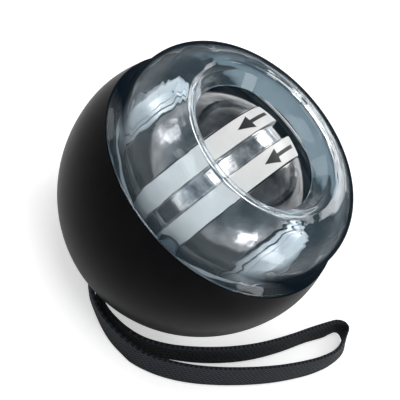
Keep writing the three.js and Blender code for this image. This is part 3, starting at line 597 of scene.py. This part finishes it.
def makeWallDisc(s):
    # an upright half disc: its flat face lies just inside the cover's edge circle, its rim is rounded like a
    # quarter circle, and behind it the disc runs back into the wall; crowding packs its rows towards the rim
    foot = coverSet["top"] + shellSet["edgeGap"]
    middle = foot + s["show"] - s["radius"]
    u = np.linspace(-1, 1, 61)[:, None]
    top = middle + s["radius"] * np.sqrt(np.maximum(1 - u ** 2, 0))
    share = np.linspace(0, 1, 17)[None, :] ** s["crowding"]
    z = foot + np.maximum(top - foot, 0) * share
    y = s["radius"] * u + 0 * share
    away = np.sqrt((z - middle) ** 2 + y ** 2)
    inset = np.clip((s["radius"] - away) / s["rim"], 0, 1)
    face = leg(crownRadius(coverSet["top"]) - s["inside"], s["radius"])
    outerFace = face - s["rim"] * (1 - np.sqrt(inset * (2 - inset)))
    innerFace = leg(shellSet["wallRadius"] - shellSet["wall"] / 2, y)
    a = math.radians(s["turn"])

    def place(x):
        # the face's points with x outwards, turned about the ball's axis
        turnedPlace = [x * np.cos(a) - y * np.sin(a), x * np.sin(a) + y * np.cos(a), z + middleHeight]
        return np.stack(turnedPlace, -1).reshape(-1, 3)

    rows, columns = y.shape
    faces = gridFaces(rows, columns, False, False)
    index = np.arange(rows * columns).reshape(rows, columns)
    loop = np.concatenate([index[:, 0], index[-1, 1:], index[-2::-1, -1], index[0, -2:0:-1]])
    back = loop + rows * columns
    rim = np.stack([loop, np.roll(loop, -1), np.roll(back, -1), back], 1)
    faces = np.concatenate([faces, faces[:, ::-1] + rows * columns, rim])
    newPiece("wallDisc", np.concatenate([place(outerFace), place(innerFace)]), faces, "housing",
             clearPolycarbonate, slot="clear_shell")


makeWallDisc(discSet)


# Lower shell with the strap lug

cupSet = dict(radius=33.7, depth=36.6, foot=32.2, lapRadius=32.7, lugHalf=4.5, lugBack=12.4, lugFront=19.4,
              lugFoot=0.3, lugTop=9.8, lugInset=1.2,  # inset: mm inside the cover's outer face
              slotLeft=2.7, slotRight=3.4, slotBack=13.2, slotFoot=1.0, slotTop=8.6)


def makeLowerShell(s):
    # cup: the cavity is a ball, the outside follows the cover; a lap at the top takes the upper shell's skirt
    cavity, half, rim = ball["cavity"], ball["raceHalf"], -gap / 2
    lap = -shellSet["lapDepth"] - gap
    rows = [
        [rim, ball["raceRadius"], 0.1], [-half, ball["raceRadius"], 0.3], [-half, cavity, 0.2],
        *arcRows(0, 0, cavity, math.degrees(math.asin(-half / cavity)) - 1, -90, 60),
        [-s["foot"], 0, 0],
        *bowlRows(s["radius"], s["depth"], -s["foot"], lap, 50),
        [lap, s["lapRadius"], 0.1], [rim, s["lapRadius"], 0.1],
    ]
    cup = turned("lowerShell", rows, "Z", 192, "housing", smokedCup, node="lower_shell", slot="inner_cup")
    cutOut(cup, [boxPoints([-s["slotLeft"], -ball["outside"], s["slotFoot"]],
                           [s["slotRight"], -s["slotBack"], s["slotTop"]])])


def makeLug(s):
    # the lug's block: two cheeks, a roof and a floor round the open slot, whose outer faces lean with the
    # cover's curve
    a, b, c, d = -s["lugHalf"], -s["slotLeft"], s["slotRight"], s["lugHalf"]
    foot, top, back = s["lugFoot"], s["lugTop"], -s["lugBack"]
    points, faces = [], []
    for left, right, low, high in [(a, b, foot, top), (c, d, foot, top), (b, c, s["slotTop"], top),
                                   (b, c, foot, s["slotFoot"])]:
        z = np.linspace(low, high, 9)
        front = -np.minimum(s["lugFront"], outerAt(z - middleHeight) - s["lugInset"])
        base = len(points)
        for zi, yi in zip(z, front):
            points += [[left, yi, zi], [right, yi, zi], [right, back, zi], [left, back, zi]]
        faces += (gridFaces(len(z), 4, False, True) + base).tolist()
        faces += [[base + k for k in (0, 1, 2, 3)], [len(points) - k for k in (1, 2, 3, 4)]]
    newPiece("strapLug", points, faces, "housing", smokedCup, slot="inner_cup")


def outerAt(z):
    # radius of the cover's outside below the equator at the height z
    return coverSet["radius"] * (1 - (-z / coverSet["depth"]) ** coverSet["power"]) ** (1 / coverSet["power"])


makeLowerShell(cupSet)
makeLug(cupSet)
print("shells made")


# Rubber grip cover

def makeGripCover(s):
    # rubber sleeve: rounded bowl outside, the shell's shape inside, a thin top edge, a shallow recess below
    floor, top, rim = -middleHeight, s["top"], crownRadius(s["top"])
    rise = np.linspace(0, top - s["bead"], 14)[1:]
    inside = np.linspace(top * s["thinFrom"], 0, 10)[:-1]
    rows = [
        [floor + s["recess"], 0, 0], [floor + s["recess"], s["recessRadius"], 0.3],
        [floor, s["recessRadius"] + s["recess"], 0.25],
        *bowlRows(s["radius"], s["depth"], floor, 0, 70),
        *[[z, crownRadius(z), 0] for z in rise],
        [top, rim, s["bead"]], [top, rim - s["edge"], 0.15],
        *[[z, crownRadius(z) - s["wall"], 0] for z in inside],
        *bowlRows(s["radius"] - s["wall"], s["depth"] - s["foot"], 0, floor + s["foot"], 40),
        [floor + s["foot"], 0, 0],
    ]
    cover = turned("gripCover", rows, "Z", 240, "housing", siliconeRubber, node="grip_cover",
                   slot="grip_rubber")
    cutOut(cover, [boxPoints([-s["windowLeft"], -ball["outside"], s["windowFoot"]],
                             [s["windowRight"], -s["windowBack"], s["windowTop"]])])


makeGripCover(coverSet)


# Ring and end housings

caseSet = dict(radius=14.0, crown=28.7, inner=26.4, chamber=9.2, plateSpan=(19.3, 20.4),
               bushRadius=2.9, bushSpan=(25.7, 27.2), boss=4.2, tipFlat=0.3, shoulderBack=5.3,
               shoulderStep=0.75, shoulderPlace=0.7, shoulderLead=0.6, footInset=0.35, footEnds=(21.7, 21.8),
               screwCircle=11.6, screws=3, screwTurn=60.0, screwShank=0.75, screwHead=1.4, screwSeat=23.6,
               headHeight=0.9, headSide=0.45, crossHalf=0.75, crossWide=0.15, crossDeep=0.4,
               hookPlace=24.6, hookWide=0.9, hookLength=5.0, hookDeep=1.2,
               holePlace=22.9, holeRadius=0.55, holeTilt=10.0, holeSpan=(12.6, 18.0),
               grooveEnd=33.0, plateCut=(17.0, 22.0), shankCut=15.0, headCut=30.0,  # where cuts end
               hookCut=20.0, crossCut=3.0)  # how far cuts reach above the hook's floor and the screw's seat
ringSet = dict(inner=27.6, outer=31.7, half=1.5, notchHalf=1.8, notchEnd=31.0, notchLead=2.0, notchCut=3.0)


def makeRing(s):
    # flat hoop with a notch at each end of the axle
    rows = [[-s["half"], s["inner"], 0.3], [-s["half"], s["outer"], 0.3],
            [s["half"], s["outer"], 0.3], [s["half"], s["inner"], 0.3]]
    ring = turned("raceRing", rows, "Z", 240, "ring", naturalNylon, node="race_ring", slot="nylon")
    low, high = middleHeight - s["notchCut"], middleHeight + s["notchCut"]
    cutOut(ring, [boxPoints([sign * (s["inner"] - s["notchLead"]), -s["notchHalf"], low],
                            [sign * s["notchEnd"], s["notchHalf"], high]) for sign in (-1, 1)])


def screwPlaces(s):
    # screw axes as (y, z) about the axle
    a = np.radians(s["screwTurn"] + np.arange(s["screws"]) * 360 / s["screws"])
    return np.stack([-s["screwCircle"] * np.sin(a), s["screwCircle"] * np.cos(a)], 1)


def makeEndCase(s, sign, side):
    # domed housing: cylinder, rounded step, then part of a ball; hollow inside, with holes for the screws,
    # a groove for the ring, a slot for the spring's hook and a small radial hole
    radius, crown, seat = s["radius"], s["crown"], s["screwSeat"]
    foot, inset = s["plateSpan"][1] + gap, radius - s["footInset"]
    shoulder = leg(crown, radius - s["shoulderPlace"])
    hollowEnd, bossEnd = leg(s["inner"], s["chamber"]), leg(s["inner"], s["boss"])
    tip, bushHole = crown - s["tipFlat"], s["bushRadius"] + gap
    bushStart, bushEnd = s["bushSpan"][0] - gap, s["bushSpan"][1] + gap
    rows = [
        [foot, s["chamber"], 0.2], [foot, inset, 0.25], [s["footEnds"][0], inset, 0.1],
        [s["footEnds"][1], radius, 0.12], [crown - s["shoulderBack"], radius, 0.8],
        [shoulder, radius - s["shoulderStep"], 0.8],
        *ballRows(crown, shoulder + s["shoulderLead"], tip, 26),
        [tip, axleBore, 0], [bushEnd, axleBore, 0.1], [bushEnd, bushHole, 0.1],
        [bushStart, bushHole, 0.1], [bushStart, s["boss"], 0.3],
        *ballRows(s["inner"], bossEnd, hollowEnd, 10),
    ]
    case = turned(side + "Case", endRows(rows, sign), "X", 160, "ring", silverAbs, node=side + "_case",
                  slot="silver_plastic")
    near, far, half = ringSet["inner"] - gap, s["grooveEnd"], ringSet["half"] + gap
    solids = [turnedSolid([[-half, near, 0], [-half, far, 0], [half, far, 0], [half, near, 0]], "Z", 96)]
    places = [(y * sign, z + middleHeight) for y, z in screwPlaces(s)]
    for y, z in places:
        solids.append(rodPoints(s["screwHead"] + gap, [sign * seat, y, z], [sign * s["headCut"], y, z], 32))
        solids.append(rodPoints(s["screwShank"] + gap, [sign * s["shankCut"], y, z],
                                [sign * (seat + gap), y, z], 24))
    floor, half = middleHeight + leg(crown, s["hookPlace"]) - s["hookDeep"], s["hookLength"] / 2
    solids.append(boxPoints([sign * s["hookPlace"], -half, floor],
                            [sign * (s["hookPlace"] + s["hookWide"]), half, floor + s["hookCut"]]))
    tilt = math.radians(s["holeTilt"]) * sign
    start, end = [[sign * s["holePlace"], np.sin(tilt) * out, np.cos(tilt) * out + middleHeight]
                  for out in s["holeSpan"]]
    solids.append(rodPoints(s["holeRadius"], start, end, 20))
    cutOut(case, solids)
    for number, (y, z) in enumerate(places, 1):
        makeScrew(s, sign, side, number, y, z)


def makeScrew(s, sign, side, number, y, z):
    # cross-head screw: pan head with a cross recess, plain shank
    start, seat = s["plateSpan"][0] + gap, s["screwSeat"] + gap
    top = seat + s["headHeight"]
    rows = [[start, 0, 0], [start, s["screwShank"], 0.2], [seat, s["screwShank"], 0.05],
            [seat, s["screwHead"], 0.1], [seat + s["headSide"], s["screwHead"], 0.3],
            [top, s["crossHalf"], 0.3], [top, 0, 0]]
    screw = turned(side + "CaseScrew" + str(number), endRows(rows, sign), "X", 40, "ring", turnedSteel,
                   offset=(0, y, z - middleHeight), node=side + "_case_screw_" + str(number), slot="steel")
    near, far = sign * (top - s["crossDeep"]), sign * (seat + s["crossCut"])
    cutOut(screw, [boxPoints([near, y - dy, z - dz], [far, y + dy, z + dz])
                   for dy, dz in ((s["crossHalf"], s["crossWide"]), (s["crossWide"], s["crossHalf"]))])


def makeCasePlate(s, sign, side):
    # flat disc between the rotor and the housing, with rounded edges and screw holes
    start, end = s["plateSpan"]
    rows = [[start, axleBore, 0.1], [start, s["radius"], 0.3], [end, s["radius"], 0.2], [end, axleBore, 0.1]]
    plate = turned(side + "CasePlate", endRows(rows, sign), "X", 128, "ring", silverAbs,
                   node=side + "_case_plate", slot="silver_plastic")
    cutOut(plate, [rodPoints(s["screwShank"] + gap,
                             *[[sign * cut, y * sign, z + middleHeight] for cut in s["plateCut"]])
                   for y, z in screwPlaces(s)])


def makeBush(s, sign, side):
    # plain sleeve round the axle
    start, end = s["bushSpan"]
    rows = [[start, axleBore, 0.15], [start, s["bushRadius"], 0.2], [end, s["bushRadius"], 0.2],
            [end, axleBore, 0.15]]
    turned(side + "Bush", endRows(rows, sign), "X", 64, "ring", sinteredBronze, node=side + "_bush",
           slot="bronze")


makeRing(ringSet)
for endSign, endSide in ((1, "spring"), (-1, "bearing")):
    makeEndCase(caseSet, endSign, endSide)
    makeCasePlate(caseSet, endSign, endSide)
    makeBush(caseSet, endSign, endSide)
print("ring and end housings made")


# Rotor

rotorSet = dict(bandBall=25.2, domeBall=25.0, grooveHalf=2.45, bandWidth=5.2, bandWall=0.8, domeEnd=18.5,
                domeWall=1.3, domeFoot=0.8, hub=5.2, hubStep=1.0, rimDepth=7.4, rimStep=1.0, landStep=0.5,
                landDrop=0.25)
bandEnd = rotorSet["grooveHalf"] + rotorSet["bandWidth"]
bandSeat = leg(rotorSet["bandBall"], bandEnd) - rotorSet["bandWall"]
arrowSet = dict(shaftLength=9.7, shaftWidth=0.9, headLength=5.6, headWidth=3.6, tipWidth=0.02, lift=0.03,
                grid=(24, 7), places=((1, 12.0), (-1, 12.0)))  # band side, tip's degrees from the top to -Y


def makeCore(s):
    # metal wheel: web and hub inside, a rim under the bands, and the bright land between them
    seat, land = bandSeat - gap, s["grooveHalf"] - gap
    top, foot = seat + s["bandWall"], seat - s["rimDepth"]
    half = [[land - s["landStep"], top - s["landDrop"], 0.3], [land, top, 0.15], [land, seat, 0.1],
            [bandEnd, seat, 0.1], [bandEnd, seat - s["rimDepth"] / 3, 0.5],
            [bandEnd - s["rimStep"], foot, 0.5], [s["grooveHalf"], foot, 0.8],
            [s["grooveHalf"], s["hub"], 0.8], [bandEnd + s["hubStep"], s["hub"], 0.3],
            [bandEnd + s["hubStep"], axleBore, 0.1]]
    turned("rotorCore", half + endRows(half, -1), "X", 192, "rotor", chromedZinc, node="rotor_core",
           slot="chromed_metal")


def makeBand(s, sign, side):
    # moulded ring that follows the rotor's ball, with softly rounded edges
    crown = ballRows(s["bandBall"], s["grooveHalf"], bandEnd, 16)
    crown[0][2] = crown[-1][2] = 0.25
    rows = crown + [[bandEnd, bandSeat, 0.1], [s["grooveHalf"], bandSeat, 0.1]]
    turned("stripeBand" + side, endRows(rows, sign), "X", 224, "rotor", whiteAbs,
           node="stripe_band_" + side.lower(), slot="white_band")


def makeDome(s, sign, side):
    # polished cap: part of a ball with a rounded flat end, hollow, on a sleeve round the axle
    start = bandEnd + gap
    inner, flat, sleeve = [s[size] - s["domeWall"] for size in ("domeBall", "domeEnd", "hub")]
    outer = ballRows(s["domeBall"], start, s["domeEnd"], 30)
    outer[0][2], outer[-1][2] = 0.2, 0.35
    back = start + s["hubStep"]
    rows = [*outer, [s["domeEnd"], axleBore, 0.15], [back, axleBore, 0.1], [back, sleeve, 0.2],
            [flat, sleeve, 0.3], [flat, leg(inner, flat), 0],
            *ballRows(inner, flat - s["domeFoot"], start, 12)]
    turned("rotorDome" + side, endRows(rows, sign), "X", 224, "rotor", polishedZinc,
           node="rotor_dome_" + side.lower(), slot="dark_polished")


def makeAxle():
    # round bar with chamfered ends
    half, tip = ball["axleHalf"], ball["tipRadius"]
    rows = [[-half, 0, 0], [-half, tip, 0.4], [half, tip, 0.4], [half, 0, 0]]
    turned("axle", rows, "X", 48, "rotor", turnedSteel, node="axle", slot="steel")


def makeArrow(s, name, sign, tipDegrees):
    # a printed arrow laid on the band: a strip for its shaft and a triangle for its head, each a small grid
    middle = sign * (rotorSet["grooveHalf"] + rotorSet["bandWidth"] / 2)
    radius = rotorSet["bandBall"] + s["lift"]
    rows, columns = s["grid"]

    def patch(startMm, endMm, startWidth, endWidth):
        # a strip that runs back from the tip and widens evenly
        run = np.linspace(0, 1, rows)[:, None]
        side = np.linspace(-0.5, 0.5, columns)[None, :]
        along = startMm + (endMm - startMm) * run + 0 * side
        x = middle + side * (startWidth + (endWidth - startWidth) * run)
        r = leg(radius, x)
        a = math.radians(tipDegrees) - along / radius
        return np.stack([x, -r * np.sin(a), r * np.cos(a) + middleHeight], -1).reshape(-1, 3)

    head = patch(0, s["headLength"], s["tipWidth"], s["headWidth"])
    shaft = patch(s["headLength"], s["headLength"] + s["shaftLength"], s["shaftWidth"], s["shaftWidth"])
    faces = gridFaces(rows, columns, False, False)
    arrow = newPiece(name, np.concatenate([head, shaft]), np.concatenate([faces, faces + len(head)]), "rotor",
                     printInk, slot="dark_polished", outward=False)
    if arrow.data.polygons[0].normal.z < 0:
        arrow.data.flip_normals()


makeCore(rotorSet)
for endSign, endSide in ((1, "Right"), (-1, "Left")):
    makeBand(rotorSet, endSign, endSide)
    makeDome(rotorSet, endSign, endSide)
makeAxle()
for number, (bandSign, degrees) in enumerate(arrowSet["places"], 1):
    makeArrow(arrowSet, "bandArrow" + str(number), bandSign, degrees)
print("rotor made")


# Finishes of the hidden parts that stay as they are

nodeFinish = [(turnedSteel, ["strap_pin", "pawl_pin_1", "pawl_pin_2", "pawl_1", "pawl_2", "ratchet_wheel"]),
              (bluedSpringSteel, ["mainspring"]), (acetal, ["spring_arbor"])]
for material, nodeNames in nodeFinish:
    for nodeName in nodeNames:
        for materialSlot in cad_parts[nodeName].material_slots:
            materialSlot.material = material


# Floor, light and background

stageSet = dict(floorSize=3000.0, paperHex=("#eeeeee", "#f2f2f2"), paperGrain=40.0,
                paperGlow=0.5, paperThroughGlass=0.15,  # whiteness to the camera, and in glass or metal
                worldDiffuse=0.55, worldSeen=1.0,  # light on the object, and brightness where seen
                sky=[(0, "#ffffff"), (0.2, "#e9edf0"), (0.5, "#8d989e"), (0.75, "#656f76"), (1, "#99a2a7")])
# each lamp's x, y, z and size in mm, and its watts
lampSet = dict(topSoftbox=(-120, -160, 620, 300, 1.1), leftStrip=(-560, -60, 180, 240, 0.5),
               rightStrip=(540, -60, 110, 200, 0.8), backSoftbox=(60, 620, 380, 260, 1.2))


def seenDirectly(tree):
    # 1 for camera, glossy and transmission rays, 0 for the light that falls on the object
    path = addNode(tree, "LightPath").outputs
    either = addNode(tree, "Math", {0: path["Is Camera Ray"], 1: path["Is Glossy Ray"]}, operation="MAXIMUM")
    return addNode(tree, "Math", {0: either, 1: path["Is Transmission Ray"]}, operation="MAXIMUM")


def makeFloor(s):
    # one level sheet under the ball
    half = s["floorSize"] / 2
    floor = newPiece("floor", [[-half, -half, 0], [half, -half, 0], [half, half, 0], [-half, half, 0]],
                     [[0, 1, 2, 3]], None, studioPaper(s), outward=False)


def studioPaper(s):
    # white studio paper: matt, with its own whiteness added where the camera sees it, and less of it where it
    # is seen through glass or in a reflection
    material, tree = newMaterial("studioPaper")
    point = addNode(tree, "TexCoord").outputs["Object"]
    tone = addNode(tree, "TexNoise", {"Vector": point, "Scale": 1 / (s["paperGrain"] * mm)})
    colour = addNode(tree, "ValToRGB", {"Fac": tone}, [(0.3, s["paperHex"][0]), (0.7, s["paperHex"][1])])
    paper = addNode(tree, "BsdfDiffuse", {"Color": colour})
    none, dimGlow, fullGlow = [addNode(tree, "Emission", {"Strength": glow})
                               for glow in (0.0, s["paperThroughGlass"], s["paperGlow"])]
    straight = addNode(tree, "LightPath").outputs["Is Camera Ray"]
    dim = addNode(tree, "MixShader", {0: seenDirectly(tree), 1: none, 2: dimGlow})
    pick = addNode(tree, "MixShader", {0: straight, 1: dim, 2: fullGlow})
    both = addNode(tree, "AddShader", {0: paper, 1: pick})
    addNode(tree, "OutputMaterial", {"Surface": both})
    return material


def makeWorld(s):
    # white at the horizon and greyer overhead, like a studio above its white sweep
    world = bpy.data.worlds.new("studio")
    scene.world = world
    world.use_nodes = True
    tree = world.node_tree
    tree.nodes.clear()
    direction = addNode(tree, "TexCoord").outputs["Generated"]
    height = addNode(tree, "SeparateXYZ", {"Vector": direction}).outputs["Z"]
    sky = addNode(tree, "ValToRGB", {"Fac": height}, s["sky"])
    falls = addNode(tree, "Background", {"Color": fromHex("#ffffff"), "Strength": s["worldDiffuse"]})
    seen = addNode(tree, "Background", {"Color": sky, "Strength": s["worldSeen"]})
    mix = addNode(tree, "MixShader", {0: seenDirectly(tree), 1: falls, 2: seen})
    addNode(tree, "OutputWorld", {"Surface": mix})


def makeLamps(lamps):
    # square soft lamps that face the ball's middle
    for name, (x, y, z, size, watts) in lamps.items():
        data = bpy.data.lights.new(name, "AREA")
        data.energy, data.size = watts, size * mm
        place = np.array([x, y, z]) * mm
        back = unit(place - [0, 0, middleHeight * mm])
        right = unit(np.cross([0, 0, 1.0], back))
        addPlaced(name, data, right, np.cross(back, right), back, place)


makeFloor(stageSet)
makeWorld(stageSet)
makeLamps(lampSet)
scene.view_settings.view_transform = "Standard"
print("stage and lamps set")
